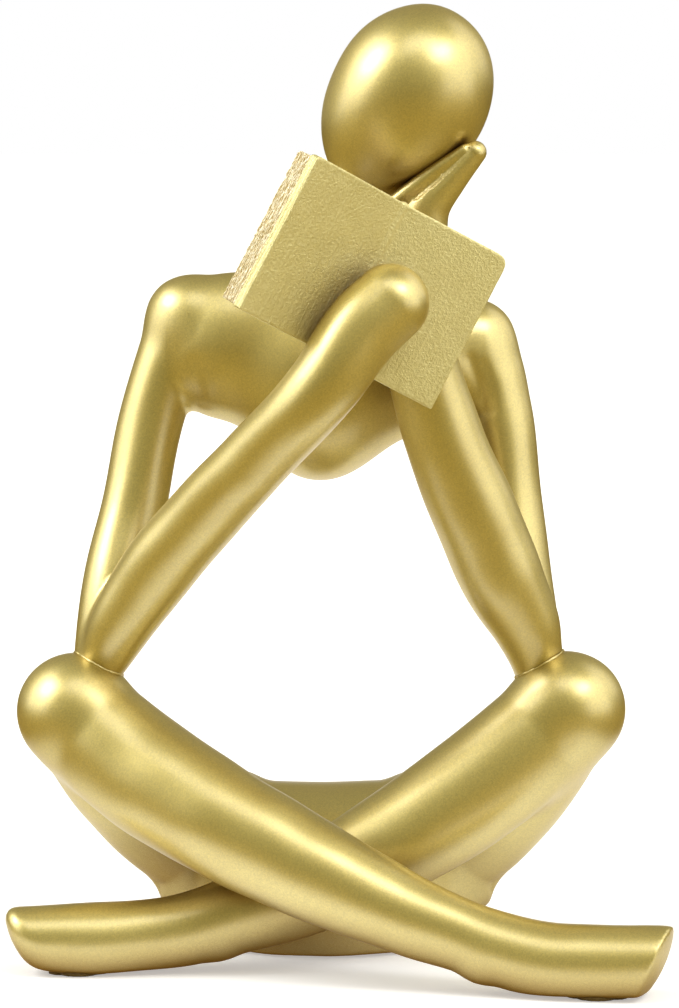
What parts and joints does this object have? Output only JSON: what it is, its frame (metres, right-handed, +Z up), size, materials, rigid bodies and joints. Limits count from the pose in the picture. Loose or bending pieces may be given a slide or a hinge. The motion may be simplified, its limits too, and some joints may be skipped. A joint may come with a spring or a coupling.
{
  "type": "abstract reading figure statue",
  "caption": "Small abstract gold figure that sits cross-legged, holds an open book in front of its face and rests its elbows on its knees; stands on a shelf as an ornament.",
  "frame": {"origin": "middle of the footprint's bounding box, on the surface the figure sits on", "axes": "+X to the right of someone who faces the figure, +Y away from them, +Z up"},
  "size_m": [0.0867, 0.0622, 0.1248],
  "materials": {
    "body_gold": "sprayed metallic gold paint over cast resin, satin, fine flake",
    "cover_gold": "the same gold paint over a fine cloth-like casting texture",
    "page_gold": "pale gold paint, rough and streaked along the page edges",
    "pin_steel": "plain drawn wire, hidden in the glued joints",
    "pad_felt": "black self-adhesive felt"
  },
  "bodies": {
    "root": {"head": "body_gold", "chest": "body_gold", "pelvis": "body_gold", "right_leg": "body_gold", "left_leg": "body_gold", "right_arm": "body_gold", "left_arm": "body_gold", "book_cover": "cover_gold", "left_pages": "page_gold", "right_pages": "page_gold", "neck_pin": "pin_steel", "right_shoulder_pin": "pin_steel", "left_shoulder_pin": "pin_steel", "right_elbow_pin": "pin_steel", "left_elbow_pin": "pin_steel", "right_hip_pin": "pin_steel", "left_hip_pin": "pin_steel", "shin_pin": "pin_steel", "book_pin": "pin_steel", "seat_pad": "pad_felt", "right_foot_pad": "pad_felt", "left_foot_pad": "pad_felt"}
  },
  "joints": []
}
